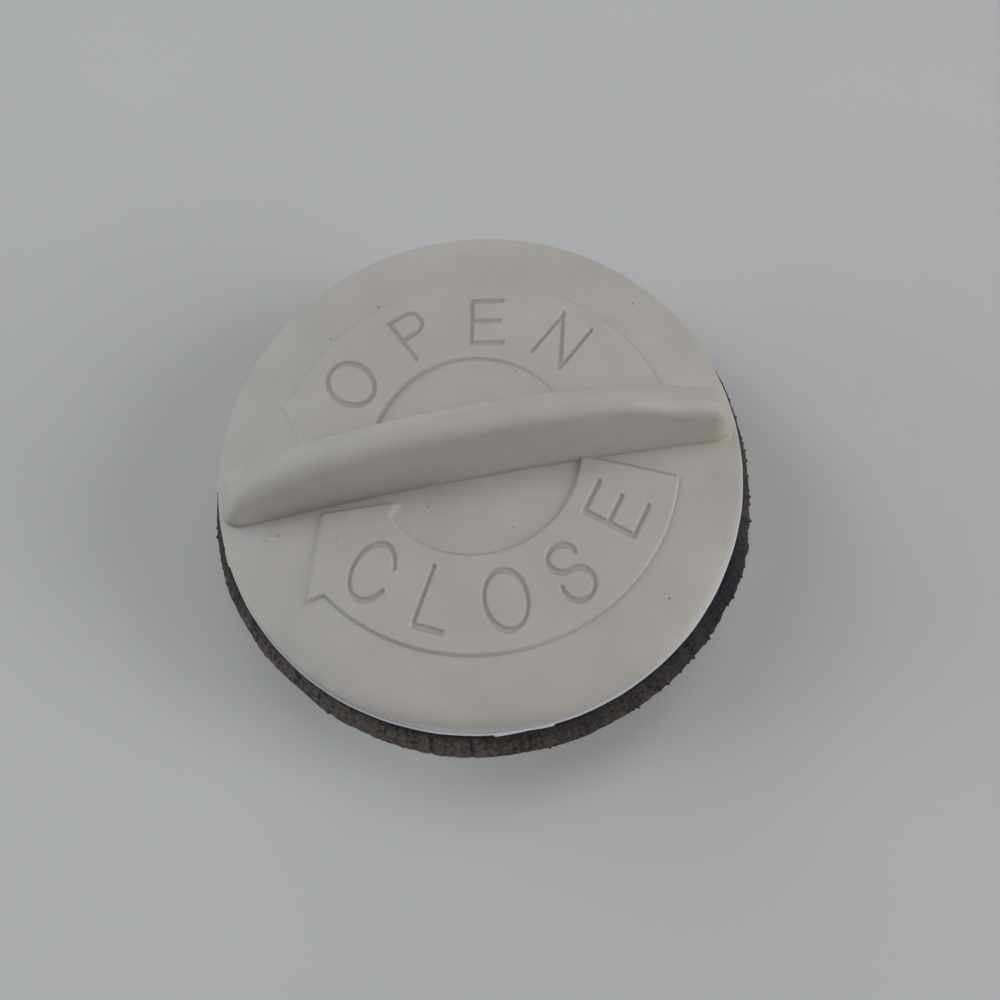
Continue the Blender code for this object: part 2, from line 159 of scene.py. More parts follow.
# Soft boxes around the object: azimuth, elevation, watts if it stood a metre away, colour.
SOFT_BOXES = {
    "right_low": (330, 12, 2.83, WARM),
    "right": (345, 30, 2.83, WARM),
    "left_far": (135, 30, 1.30, COOL),
    "left": (172, 17, 2.30, COOL),
    "left_high": (160, 48, 1.39, COOL),
    "far_right": (40, 48, 0.56, WARM),
    "far_low": (90, 12, 1.28, NEUTRAL),
    "near_low": (270, 12, 0.28, NEUTRAL),
    "above_far": (60, 66, 1.17, NEUTRAL),
    "above_near": (240, 66, 1.11, NEUTRAL),
}
ROOM_COLOUR = (0.95, 0.98, 1.0, 1.0)
ROOM_LIGHT, ROOM_SEEN = 0.01, 0.42  # how strongly the room lights the object, and how bright it looks

# Fineness of the meshes.
AROUND = 720  # points around the flange's rim
GASKET_AROUND, WALL_ROWS = 1800, 14  # points around the gasket, and steps down its cut wall
SLOPE_STEP = 0.004  # half the distance over which a slope is measured


# ---------------------------------------------------------------- shapes in plan


def polar(radius, degrees):
    """Points in plan at this distance and these angles."""
    angle = np.radians(degrees)
    return np.stack([radius * np.cos(angle), radius * np.sin(angle)], axis=-1)


def arc(radius, first, last, step=1.5):
    """Points of an arc about the axis, in degrees."""
    count = max(2, int(abs(last - first) / step) + 1)
    return polar(radius, np.linspace(first, last, count))


def distance_to_path(points, path, closed=False):
    """Distance from each point to a path of straight pieces."""
    ends = np.roll(path, -1, axis=0) if closed else path[1:]
    starts = path if closed else path[:-1]
    nearest = np.full(len(points), np.inf)
    for start, end in zip(starts, ends):
        along = end - start
        length = along @ along
        share = np.clip((points - start) @ along / length, 0, 1) if length > 0 else np.zeros(len(points))
        gap = points - start - share[:, None] * along
        nearest = np.minimum(nearest, (gap**2).sum(1))
    return np.sqrt(nearest)


def inside(points, outline):
    """Whether each point is inside a closed outline."""
    found = np.zeros(len(points), bool)
    for (x1, y1), (x2, y2) in zip(outline, np.roll(outline, -1, axis=0)):
        if y1 == y2:
            continue
        crosses = (points[:, 1] < y1) != (points[:, 1] < y2)
        found ^= crosses & (points[:, 0] < x1 + (points[:, 1] - y1) / (y2 - y1) * (x2 - x1))
    return found


def depth_inside(points, outline):
    """Signed distance to a closed outline, positive inside."""
    return np.where(inside(points, outline), 1, -1) * distance_to_path(points, outline, closed=True)


def smooth_step(value, low, high):
    """0 up to low, 1 from high on, and smooth between."""
    share = np.clip((value - low) / (high - low), 0, 1)
    return share * share * (3 - 2 * share)


def bell(value, middle, span):
    """1 at the middle, and falling smoothly to about a third at this span from it."""
    return np.exp(-(((value - middle) / span) ** 2))


def turned(degrees, middle):
    """How far each angle is from the middle, the shorter way round."""
    return (degrees - middle + 180) % 360 - 180


def outer_edge(first, last):
    """An arc of the flattened circle that the arrows' outer edges lie on."""
    return arc(1.0, first, last) * (OUTER_LONG, OUTER_SHORT) + (OUTER_X, 0)


def open_arrow():
    """Its tail and the point of its head run under the finger bar."""
    return np.concatenate([
        outer_edge(10.5, 149.6),
        polar(22.35, [151.0]), polar(23.6, [152.9]), polar(18.3, [171.7]), polar(10.3, [160.3]),
        arc(OPEN_INNER, 158.0, 10.0),
    ])


def close_arrow():
    return np.concatenate([
        outer_edge(-17.5, -144.7),
        [(-18.5, -12.6), (-20.1, -12.85), (-17.4, -3.75), (-9.6, -4.15), (-9.15, -4.55), (-9.9, -5.6)],
        arc(CLOSE_INNER, -150.6, -13.0),
    ])


ARROWS = (open_arrow(), close_arrow())


# ---------------------------------------------------------------- engraved letters


def ellipse(width, height, first, last, centre_y=0.0, steps=24):
    """Points of a stretch of an ellipse, in degrees from its right-hand end."""
    angle = np.radians(np.linspace(first, last, steps + 1))
    return np.stack([width / 2 * np.cos(angle), centre_y + height / 2 * np.sin(angle)], axis=-1)


def letter_strokes(letter, width, height):
    """(path, closed) of each stroke of an upright letter that is centred on 0, 0."""
    left, right, top, low = -width / 2, width / 2, height / 2, -height / 2
    if letter == "O":
        return [(ellipse(width, height, 0, 352.5, steps=47), True)]
    if letter == "C":
        return [(ellipse(width, height, 26, 337, steps=40), False)]
    if letter == "L":
        return [(np.array([(left, top), (left, low), (right, low + 0.25)]), False)]
    if letter == "N":
        return [(np.array([(left, low), (left, top), (right, low), (right, top)]), False)]
    if letter == "E":
        middle = 0.016 * height
        return [
            (np.array([(right, top), (left, top), (left, low), (right, low)]), False),
            (np.array([(left, middle), (right - 0.4, middle)]), False),
        ]
    if letter == "P":
        bowl = ellipse(3.36, 3.05, 90, -90, top - 3.05 / 2, 20)
        bowl[:, 0] += right - 3.36 / 2
        path = np.concatenate([[(left, low), (left, top)], bowl, [(left, top - 3.05)]])
        return [(path, False)]
    upper = ellipse(0.88 * width, 0.46 * height, -4, 262, 0.27 * height, 24)
    lower = ellipse(width, 0.54 * height, 82, -198, -0.23 * height, 24)
    return [(np.concatenate([upper, lower]), False)]


# Each letter's middle (radius, angle), the direction of its top in degrees, and its width and height.
LETTERS = (
    ("O", 16.65, 138.4, 127.0, 4.75, 6.32),
    ("P", 16.63, 105.2, 115.3, 3.36, 6.10),
    ("E", 16.46, 75.2, 80.6, 3.60, 5.85),
    ("N", 17.01, 44.2, 44.1, 3.84, 6.26),
    ("C", 17.07, 221.4, 51.2, 4.36, 6.40),
    ("L", 16.87, 247.6, 60.5, 3.14, 6.40),
    ("O", 16.84, 272.3, 91.4, 4.52, 6.27),
    ("S", 17.07, 297.5, 112.3, 3.55, 6.30),
    ("E", 16.74, 326.7, 143.3, 3.72, 5.85),
)


def placed_strokes():
    """Every stroke of both words, in plan."""
    made = []
    for letter, radius, angle, top_angle, width, height in LETTERS:
        middle = polar(radius, angle)
        up = polar(1.0, top_angle)
        across = np.array([up[1], -up[0]])
        for path, closed in letter_strokes(letter, width, height):
            made.append((middle + path[:, :1] * across + path[:, 1:] * up, closed))
    return made


STROKES = placed_strokes()


def stroke_distance(points):
    """Distance from each point to the middle of the nearest stroke."""
    nearest = np.full(len(points), np.inf)
    radius = np.hypot(points[:, 0], points[:, 1])
    near = (radius > 11.8) & (radius < 22.0)
    for path, closed in STROKES:
        nearest[near] = np.minimum(nearest[near], distance_to_path(points[near], path, closed))
    return nearest


# ---------------------------------------------------------------- height of the top surface


def edge_bend(degrees):
    """How strongly the crown's edge bends down in each direction."""
    return BEND + NEAR_BEND * bell(degrees, NEAR_BEND_MIDDLE, NEAR_BEND_SPAN)


def crown(radius, bend=BEND):
    """The crown, its bent-down edge and the rounded edge of the flange."""
    ball = CROWN_TOP - CROWN_RADIUS + np.sqrt(CROWN_RADIUS**2 - radius**2)
    ball -= bend * np.maximum(0, radius - RIM + BEND_WIDTH) ** 2
    rim_ball = CROWN_TOP - CROWN_RADIUS + math.sqrt(CROWN_RADIUS**2 - RIM**2) - bend * BEND_WIDTH**2
    share = np.clip((radius - (RIM - EDGE_REACH)) / EDGE_REACH, 0, 1)
    return ball - (rim_ball - RIM_TOP) * (1 - np.sqrt(1 - share**2.2))


def waviness(x, y):
    """The slight unevenness of a moulded face."""
    return 0.012 * (np.sin(0.31 * x + 0.9) * np.cos(0.27 * y - 0.4) + 0.6 * np.sin(0.53 * y + 0.21 * x + 2.0))


def far_squeeze(points):
    """How much the bar's far half is squeezed towards its middle: 1 where it isn't."""
    return 1 + BAR_FAR_NARROW * smooth_step(points[:, 0], *BAR_FAR_SPAN) * (points[:, 1] > 0)


def bar_height(points):
    """Height of the finger bar, and how far inside its foot each point is."""
    x = points[:, 0]
    on_spine = np.clip(x, -BAR_STRAIGHT, BAR_STRAIGHT)
    aside = np.abs(points[:, 1]) * far_squeeze(points)
    to_spine = (np.abs(x - on_spine) ** BAR_END_POWER + aside**BAR_END_POWER) ** (1 / BAR_END_POWER)
    inset = BAR_HALF_WIDTH - to_spine
    bow = np.where(x < 0, BAR_ARCH_LEFT, BAR_ARCH_RIGHT)
    arch = CREST - bow + np.sqrt(bow**2 - x**2)
    arch -= BAR_DROP * smooth_step(x, *BAR_DROP_SPAN)
    foot = crown(np.abs(on_spine))
    nose_start = np.where(x < 0, BAR_NOSE_LEFT, BAR_NOSE_RIGHT)
    curl = np.clip((np.abs(x) - nose_start) / (BAR_NOSE_END - nose_start), 0, 1)
    rise = (arch - foot) * np.sqrt(1 - curl**2)
    bend = np.minimum(BAR_ROUND + BAR_ROUND_MORE * smooth_step(x, *BAR_ROUND_SPAN), 0.75 * rise)
    side_rise = np.maximum(rise - bend, 1e-3)
    narrow = BAR_NARROW * smooth_step(x, *BAR_NARROW_SPAN)
    draft = BAR_DRAFT + narrow / np.maximum(side_rise, 2.0)
    half_crest = BAR_HALF_WIDTH - draft * side_rise
    share = np.clip(to_spine / half_crest, 0, 1)
    power = CREST_POWER + CREST_POWER_MORE * smooth_step(x, *CREST_POWER_SPAN)
    rounded = foot + rise - bend * (1 - (1 - share**power) ** (1 / power))
    side = foot + inset / draft
    return np.where(to_spine < half_crest, rounded, np.minimum(side, foot + side_rise)), inset


def pit_shape(points, x, y, size):
    """How deep each point is in a pinhole, as a share of the pinhole's depth."""
    away = np.hypot(points[:, 0] - x, points[:, 1] - y) / size
    return np.exp(-2.5 * away**2)


def smooth_max(a, b, width):
    """The larger of two heights, rounded where they meet."""
    mix = np.clip(0.5 + 0.5 * (a - b) / width, 0, 1)
    return b + (a - b) * mix + width * mix * (1 - mix)


def top_height(points):
    """Height of the top surface over each point in plan."""
    radius = np.minimum(np.hypot(points[:, 0], points[:, 1]), RIM)
    height = crown(radius, edge_bend(np.degrees(np.arctan2(points[:, 1], points[:, 0]))))
    height += waviness(points[:, 0], points[:, 1]) * smooth_step(RIM - radius, 1.0, 4.0)
    wall = ARROW_WALL + NUB_WALL * np.exp(-((points - NUB) ** 2).sum(1) / NUB_REACH**2)
    for outline in ARROWS:
        height += ARROW_RAISE * smooth_step(depth_inside(points, outline) / wall, -0.5, 0.5)
    height -= STROKE_DEPTH * (1 - smooth_step(stroke_distance(points), STROKE_FLOOR, STROKE_EDGE))
    for x, y, size, depth in PITS:
        height -= depth * pit_shape(points, x, y, size)
    bar, inset = bar_height(points)
    return np.where(inset > -1.5, smooth_max(bar, height, BAR_FILLET), height)


def top_normals(points):
    """Unit normals of the top surface, from its slopes."""
    step_x, step_y = np.array([SLOPE_STEP, 0]), np.array([0, SLOPE_STEP])
    slope_x = (top_height(points + step_x) - top_height(points - step_x)) / (2 * SLOPE_STEP)
    slope_y = (top_height(points + step_y) - top_height(points - step_y)) / (2 * SLOPE_STEP)
    normals = np.stack([-slope_x, -slope_y, np.ones(len(points))], axis=1)
    return normals / np.linalg.norm(normals, axis=1)[:, None]


# ---------------------------------------------------------------- points of the top surface


def walk(path, closed, spacing):
    """Points along a path at about this spacing, its corners kept, and the direction of the path at each."""
    ends = np.roll(path, -1, axis=0) if closed else path[1:]
    starts = path if closed else path[:-1]
    spots, ways = [], []
    for start, end in zip(starts, ends):
        length = np.hypot(*(end - start))
        if length < 1e-6:
            continue
        count = max(1, round(length / spacing))
        shares = np.arange(count) / count
        spots.append(start + shares[:, None] * (end - start))
        ways.append(np.repeat([(end - start) / length], count, axis=0))
    if not closed:
        spots.append(path[-1:])
        ways.append(ways[-1][-1:])
    return np.concatenate(spots), np.concatenate(ways)


def thinned(points, gap):
    """The points, without those that are nearer than this to one kept before."""
    kept, cells = [], {}
    for point in points:
        cell = (int(math.floor(point[0] / gap)), int(math.floor(point[1] / gap)))
        around = ((cell[0] + i, cell[1] + j) for i in (-1, 0, 1) for j in (-1, 0, 1))
        if any(
            (point[0] - q[0]) ** 2 + (point[1] - q[1]) ** 2 < gap * gap
            for c in around for q in cells.get(c, ())
        ):
            continue
        kept.append(point)
        cells.setdefault(cell, []).append(point)
    return np.array(kept)


def beside(path, closed, offsets, spacing, measure):
    """Rows of points at these distances beside a path. A row keeps only the points that are truly that far away."""
    spots, ways = walk(path, closed, spacing)
    across = np.stack([-ways[:, 1], ways[:, 0]], axis=1)
    rows = []
    for offset in offsets:
        row = spots + offset * across
        rows.append(row[np.abs(np.abs(measure(row)) - abs(offset)) < 0.02])
    return rows


def round_end(centre, radii, count=10):
    """Rings of points around a centre."""
    return [centre + polar(r, np.arange(count) * 360 / count) for r in radii]


def letter_points():
    """Points along the strokes and around their ends and corners."""
    rows = []
    offsets = (0.0, 0.08, -0.08, 0.15, -0.15, 0.22, -0.22, 0.29, -0.29, 0.36, -0.36, 0.46, -0.46)
    for path, closed in STROKES:
        rows += beside(path, closed, offsets, 0.2, stroke_distance)
        corners = path if len(path) < 12 else path[[0, -1]]
        for corner in corners if not closed else ():
            for ring in round_end(corner, (0.08, 0.15, 0.22, 0.29, 0.36, 0.46)):
                rows.append(ring[np.abs(stroke_distance(ring) - np.hypot(*(ring - corner).T)) < 0.02])
    return rows


def arrow_points():
    """Points along the walls of both arrows."""
    rows = []
    offsets = (0.0, 0.05, -0.05, 0.1, -0.1, 0.15, -0.15, 0.21, -0.21, 0.32, -0.32)
    for outline in ARROWS:
        rows += beside(outline, True, offsets, 0.35, lambda p, o=outline: depth_inside(p, o))
    return rows


def bar_points():
    """Rings that climb the bar from outside its foot to its spine."""
    insets = [-0.7, -0.4, -0.22, -0.12, -0.05, 0.0, 0.04, 0.08, 0.13, 0.2, 0.32, 0.48, 0.66, 0.84, 1.0]
    widths = [2.0, 1.9, 1.8, 1.7, 1.6, 1.5, 1.38, 1.22, 1.05, 0.85, 0.62, 0.38, 0.16]
    spans = [BAR_HALF_WIDTH - inset for inset in insets] + widths
    along = np.linspace(-BAR_STRAIGHT, BAR_STRAIGHT, 129)
    turn = np.linspace(-90, 90, 25)[1:-1]
    rows = []
    for span in spans:
        ends = polar(1.0, turn)
        ends *= span / (np.abs(ends) ** BAR_END_POWER).sum(1)[:, None] ** (1 / BAR_END_POWER)
        rows += [
            np.stack([along, np.full_like(along, -span)], axis=1),
            ends + (BAR_STRAIGHT, 0),
            np.stack([along, np.full_like(along, span)], axis=1),
            -ends - (BAR_STRAIGHT, 0),
        ]
    rows.append(np.stack([along, 0 * along], axis=1))
    for row in rows:
        row[:, 1] /= far_squeeze(row)
    return [row[np.hypot(row[:, 0], row[:, 1]) < FIELD_RADIUS - 0.02] for row in rows]


def pit_points():
    """Rings of points around the pinholes."""
    rows = []
    for x, y, size, _ in PITS:
        centre = np.array([x, y])
        rows.append(centre[None])
        rows += round_end(centre, (0.35 * size, 0.7 * size, 1.1 * size, 1.6 * size), 12)
    return rows


def field_points():
    """Rings of points over the whole top, closer together towards the rounded edge."""
    near_edge = RIM - np.array([2.0, 1.6, 1.3, 1.05, 0.8, 0.6, 0.42, 0.28, 0.17, 0.1])
    radii = [*np.arange(0.6, RIM - 2.2, 0.6), *near_edge]
    rows = [np.zeros((1, 2))]
    for k, radius in enumerate(radii):
        count = AROUND // 2 if radius > RIM - 1.1 else max(6, round(2 * math.pi * radius / 0.6))
        rows.append(polar(radius, (np.arange(count) + 0.5 * (k % 2)) * 360 / count))
    return rows


def top_surface():
    """(points, faces) of the top in plan. Its first points are the ring around its edge."""
    edge = polar(FIELD_RADIUS, np.arange(AROUND) * 360 / AROUND)
    features = np.concatenate(bar_points() + letter_points() + arrow_points() + pit_points())
    features = thinned(features, 0.035)
    field = np.concatenate(field_points())
    clear = (stroke_distance(field) > 0.6) & (bar_height(field)[1] < -0.95)
    for outline in ARROWS:
        clear &= np.abs(depth_inside(field, outline)) > 0.5
    points = np.concatenate([edge, features, field[clear]])
    ring = [(i, (i + 1) % AROUND) for i in range(AROUND)]
    found, _, faces, origins, *_ = geometry.delaunay_2d_cdt([Vector(p) for p in points], ring, [], 1, 1e-6)
    found = np.array([tuple(p) for p in found])
    first = {}
    for i, sources in enumerate(origins):
        for source in sources:
            first[source] = i
    order = [first[i] for i in range(AROUND)]
    rest = [i for i in range(len(found)) if i not in set(order)]
    place = np.empty(len(found), int)
    place[order + rest] = np.arange(len(found))
    return found[order + rest], place[np.array([f for f in faces if len(f) == 3])]


# ---------------------------------------------------------------- meshes


def to_object(name, points, faces):
    """A mesh object from points in millimetres."""
    mesh = bpy.data.meshes.new(name)
    mesh.from_pydata((np.asarray(points) * MM).tolist(), [], [list(map(int, f)) for f in faces])
    mesh.validate()
    mesh.update()
    piece = bpy.data.objects.new(name, mesh)
    bpy.context.scene.collection.objects.link(piece)
    return piece


def ring_faces(first, second, count):
    """Quads between two rings of points, given by the index of each ring's first point."""
    return [(first + i, second + i, second + (i + 1) % count, first + (i + 1) % count) for i in range(count)]


def flash(degrees):
    """How far the thin lip of flash stands out from the rim at each angle."""
    around = np.radians(degrees)
    lip = FLASH_LIP + 0.13 * bell(degrees, -108, 40) + 0.2 * bell(degrees, -50, 34)
    lip += 0.02 * np.sin(5 * around + 1.0) + 0.015 * np.sin(13 * around) + 0.012 * np.sin(37 * around + 2)
    for start, end, rise, fall in FLASH_TEARS:
        torn = (degrees > start) & (degrees < end)
        share = (degrees - start) / (end - start)
        lip = np.where(torn, lip + rise + (fall - rise) * share, lip)
    return lip


def rim_rings(degrees):
    """(radius, height) at each angle, from the field's edge down the rim to the flange's underside."""
    lip = flash(degrees)
    rounded = [(radius, crown(radius, edge_bend(degrees))) for radius in (RIM - 0.025, RIM - 0.008, RIM)]
    return rounded + [
        (RIM, SEAT + 0.24),
        (RIM + 0.35 * lip, SEAT + 0.19),
        (RIM + 0.9 * lip, SEAT + 0.17),
        (RIM + lip, SEAT + 0.12),
        (RIM + 0.9 * lip, SEAT + 0.07),
        (RIM - 0.02, SEAT + 0.03),
        (RIM - 0.2, SEAT),
    ]


def skirt_rings():
    """(radius, height) down the spigot and the plug and up its hollow, the corners slightly rounded."""
    inner = PLUG_RADIUS - PLUG_WALL
    return [
        (SPIGOT_RADIUS + 0.3, SEAT), (SPIGOT_RADIUS + 0.08, SEAT - 0.08), (SPIGOT_RADIUS, SEAT - 0.3),
        (SPIGOT_RADIUS, SPIGOT_FOOT + 0.25), (SPIGOT_RADIUS - 0.08, SPIGOT_FOOT + 0.08),
        (SPIGOT_RADIUS - 0.25, SPIGOT_FOOT), (PLUG_RADIUS + 0.35, SPIGOT_FOOT),
        (PLUG_RADIUS + 0.1, SPIGOT_FOOT - 0.1), (PLUG_RADIUS, SPIGOT_FOOT - 0.35),
        (PLUG_RADIUS, FOOT + 0.9), (PLUG_RADIUS - 0.06, FOOT + 0.7),
        (PLUG_RADIUS - 0.75, FOOT + 0.05), (PLUG_RADIUS - 0.9, FOOT),
        (inner + 0.2, FOOT), (inner + 0.05, FOOT + 0.05), (inner, FOOT + 0.2),
        (inner, ROOF - 0.6), (inner - 0.18, ROOF - 0.18), (inner - 0.6, ROOF),
    ]


def round_ring(radius, height, degrees):
    """A ring of points whose radius and height may change with the angle."""
    radius = np.broadcast_to(radius, degrees.shape)
    return np.column_stack([polar(1.0, degrees) * radius[:, None], np.broadcast_to(height, degrees.shape)])


def cap_shell():
    """The whole cap but its lugs: the top as a field of heights, the rest as rings."""
    plan, faces = top_surface()
    faces = [tuple(face) for face in faces]
    degrees = np.arange(AROUND) * 360 / AROUND
    degrees[degrees > 180] -= 360
    points = [np.column_stack([plan, top_height(plan)])]
    above, count = 0, len(plan)
    for radius, height in rim_rings(degrees) + skirt_rings():
        points.append(round_ring(radius, height, degrees))
        faces += ring_faces(above, count, AROUND)
        above = count
        count += AROUND
    points.append(np.array([[0.0, 0.0, ROOF]]))
    faces += [(above + i, count, above + (i + 1) % AROUND) for i in range(AROUND)]
    return to_object("cap_moulding", np.concatenate(points), faces)


def wedge(name, middle, span, inner, outer, bottom, tops):
    """A block around part of the plug, whose top goes from one height to the other, counter-clockwise."""
    steps = 24
    angles = middle + np.linspace(-span / 2, span / 2, steps + 1)
    tops = np.linspace(tops[0], tops[1], steps + 1)
    points, faces = [], []
    for k, (angle, top) in enumerate(zip(angles, tops)):
        for radius, height in ((inner, bottom), (outer, bottom), (outer, top), (inner, top)):
            points.append((*polar(radius, angle), height))
        if k:
            a, b = 4 * k - 4, 4 * k
            faces += [(a + i, a + (i + 1) % 4, b + (i + 1) % 4, b + i) for i in range(4)]
    faces += [(3, 2, 1, 0), tuple(4 * steps + i for i in range(4))]
    piece = to_object(name, points, faces)
    soften = piece.modifiers.new("soften", "BEVEL")
    soften.width = 0.25 * MM
    soften.segments = 3
    soften.limit_method = "ANGLE"
    soften.angle_limit = math.radians(40)
    return piece


def bake_modifiers(piece):
    """The piece's mesh with its modifiers applied."""
    graph = bpy.context.evaluated_depsgraph_get()
    made = bpy.data.meshes.new_from_object(piece.evaluated_get(graph))
    piece.modifiers.clear()
    piece.data = made


def add_lugs(cap):
    """Joins two lugs and their stop ribs to the plug, across from each other."""
    root = PLUG_RADIUS - PLUG_WALL / 2
    slope = (LUG_TOP_LOW, LUG_TOP_HIGH)
    stop_top = (SPIGOT_FOOT + 1.3,) * 2
    helpers = []
    for side, middle in (("east", 0.0), ("west", 180.0)):
        stop = middle + LUG_SPAN / 2 - 1 - STOP_SPAN / 2
        helpers += [
            wedge(f"lug_{side}", middle, LUG_SPAN, root, LUG_RADIUS, LUG_BOTTOM, slope),
            wedge(f"stop_{side}", stop, STOP_SPAN, root, LUG_RADIUS - 0.2, LUG_BOTTOM + 0.4, stop_top),
        ]
    for helper in helpers:
        joined = cap.modifiers.new(helper.name, "BOOLEAN")
        joined.operation = "UNION"
        joined.solver = "EXACT"
        joined.object = helper
    bake_modifiers(cap)
    for helper in helpers:
        bpy.data.objects.remove(helper)


def number_attribute(mesh, name, values):
    """A number at each point of the mesh, for its material."""
    made = mesh.attributes.new(name, "FLOAT", "POINT")
    made.data.foreach_set("value", np.asarray(values, np.float32))


def arrow_dirt_and_shade(plan, radius, degrees):
    """Dirt and painted shade along the foot of each arrow's wall."""
    open_foot, close_foot = (bell(depth_inside(plan, outline), -0.17, 0.11) for outline in ARROWS)
    inner = radius < 14
    open_inner = OPEN_INNER_DIRT_AND_SHADE + OPEN_INNER_MORE * smooth_step(degrees, 95, 150)
    open_outer = OPEN_OUTER_DIRT_AND_SHADE * (1 - smooth_step(degrees, 20, 60))
    close_outer = CLOSE_OUTER_DIRT_AND_SHADE + CLOSE_OUTER_MORE * smooth_step(degrees, -75, -45)
    close_outer *= degrees > -148
    return np.maximum(
        open_foot * np.where(inner, open_inner, open_outer),
        close_foot * np.where(inner, CLOSE_INNER_DIRT_AND_SHADE, close_outer),
    )


def bar_shade(x, y, inset):
    """Painted shade at the bar's near foot, up its near side and on the crown beside it, and a darker mark on its
    +X end.
    """
    near_side = smooth_step(-y, 0, 1)
    left_side = near_side * smooth_step(x, -27, -20) * (1 - smooth_step(x, -8, 2))
    up_the_side = np.clip(inset, 0, 1) / BAR_DRAFT
    return np.maximum.reduce([
        BAR_FOOT_SHADE * near_side * bell(inset, -0.02, 0.1),
        BAR_SIDE_SHADE * left_side * np.exp(-up_the_side / 2.0) * (inset > -0.05),
        BESIDE_BAR_SHADOW * left_side * np.exp(np.minimum(inset, 0) / 1.1) * (inset < 0),
        RIGHT_SIDE_SHADE * near_side * smooth_step(x, 19, 23) * (inset > 0),
        BAR_END_DARKENING * bell(x, 26.6, 1.8) * bell(y, -0.6, 1.5) * (inset > 0),
    ])


def top_dirt_and_shade(plan):
    """Dirt and painted shade on the top: dirt with painted shade in the letters, along the arrows and in the
    pinholes; painted shade along the bar and on the near edge.
    """
    x, y = plan.T
    radius, degrees = np.hypot(x, y), np.degrees(np.arctan2(y, x))
    inset = bar_height(plan)[1]
    # Painted shade on the rounded near edge of the crown.
    near_edge = bell(degrees, NEAR_BEND_MIDDLE, NEAR_BEND_SPAN) * smooth_step(radius, RIM - 1.5, RIM - 0.1)
    return np.maximum.reduce([
        LETTER_DIRT_AND_SHADE * (1 - smooth_step(stroke_distance(plan), 0.05, 0.36)),
        arrow_dirt_and_shade(plan, radius, degrees) * (inset < -0.2),
        bar_shade(x, y, inset),
        NEAR_EDGE_SHADE * near_edge,
        *(PIT_DIRT_AND_SHADE * pit_shape(plan, *pit[:3]) for pit in PITS),
    ])


def flash_and_highlights(points, on_top):
    """The flash along the rim, a little pale anywhere and with painted highlight where the light catches it, and
    the painted highlight patch on the top.
    """
    degrees = np.degrees(np.arctan2(points[:, 1], points[:, 0]))
    lit = smooth_step(degrees, -178, -150) * (1 - smooth_step(degrees, -12, 8))
    on_rim = smooth_step(np.hypot(points[:, 0], points[:, 1]), RIM - 0.02, RIM + 0.06) * (points[:, 2] > SEAT)
    # Painted highlight: a paler patch on the crown.
    highlight_patch = PAINTED_HIGHLIGHT_SHARE * np.exp(-(((points[:, :2] - PAINTED_HIGHLIGHT) / PAINTED_HIGHLIGHT_REACH) ** 2).sum(1)) * on_top
    return np.maximum(on_rim * (0.15 + 0.85 * lit), highlight_patch)


def shade_cap(cap):
    """Smooth shading, exact normals on the top, and the attributes that its material reads."""
    mesh = cap.data
    points = np.empty(len(mesh.vertices) * 3, np.float32)
    mesh.vertices.foreach_get("co", points)
    points = points.reshape(-1, 3).astype(float) / MM
    plan = points[:, :2]
    on_top = (np.hypot(*plan.T) < FIELD_RADIUS + 1e-3) & (points[:, 2] > SEAT + 0.6)
    on_top[on_top] = np.abs(top_height(plan[on_top]) - points[on_top, 2]) < 0.01
    mesh.shade_smooth()
    mesh.set_sharp_from_angle(angle=math.radians(38))
    normals = np.zeros((len(points), 3))
    normals[on_top] = top_normals(plan[on_top])
    mesh.normals_split_custom_set_from_vertices(normals.tolist())
    dirt_and_shade = np.zeros(len(points))
    dirt_and_shade[on_top] = top_dirt_and_shade(plan[on_top])
    number_attribute(mesh, "dirt_and_shade", dirt_and_shade)
    number_attribute(mesh, "gate", on_top * np.exp(-((plan - GATE) ** 2).sum(1) / GATE_REACH**2))
    number_attribute(mesh, "pale", flash_and_highlights(points, on_top))


def build_cap():
    cap = cap_shell()
    add_lugs(cap)
    shade_cap(cap)
    return cap


# ---------------------------------------------------------------- gasket


def blurred(values, passes):
    """A periodic row of numbers, smoothed this many times."""
    for _ in range(passes):
        values = 0.25 * np.roll(values, 1, axis=0) + 0.5 * values + 0.25 * np.roll(values, -1, axis=0)
    return values / values.std()


def cut_wall(chance, degrees):
    """How far the rough cut stands out, in rows from the top of the wall to its foot, and the knife's score."""
    slow, ragged, score = (blurred(chance.standard_normal(GASKET_AROUND), passes) for passes in (900, 40, 3))
    worst = bell(degrees, ROUGHEST, ROUGHEST_SPAN)
    rows = []
    for k in range(WALL_ROWS + 1):
        share = k / WALL_ROWS
        fine = blurred(chance.standard_normal(GASKET_AROUND), 2)
        rough = 0.05 * slow + (0.012 + 0.055 * share * (0.2 + worst)) * ragged
        rows.append(rough + 0.016 * score * (0.4 + share) + 0.012 * fine)
    tags = np.zeros(GASKET_AROUND)
    for _ in range(TAGS):
        middle = chance.normal(ROUGHEST, TAG_SPREAD) if chance.random() < 0.7 else chance.uniform(0, 360)
        width, length = chance.uniform(0.2, 0.6), chance.uniform(0.1, 0.36)
        tags = np.maximum(tags, length * np.clip(1 - np.abs(turned(degrees, middle)) / width, 0, 1))
    for k, reach in ((WALL_ROWS, 1.0), (WALL_ROWS - 1, 0.75), (WALL_ROWS - 2, 0.3)):
        rows[k] += reach * tags
    return rows, score


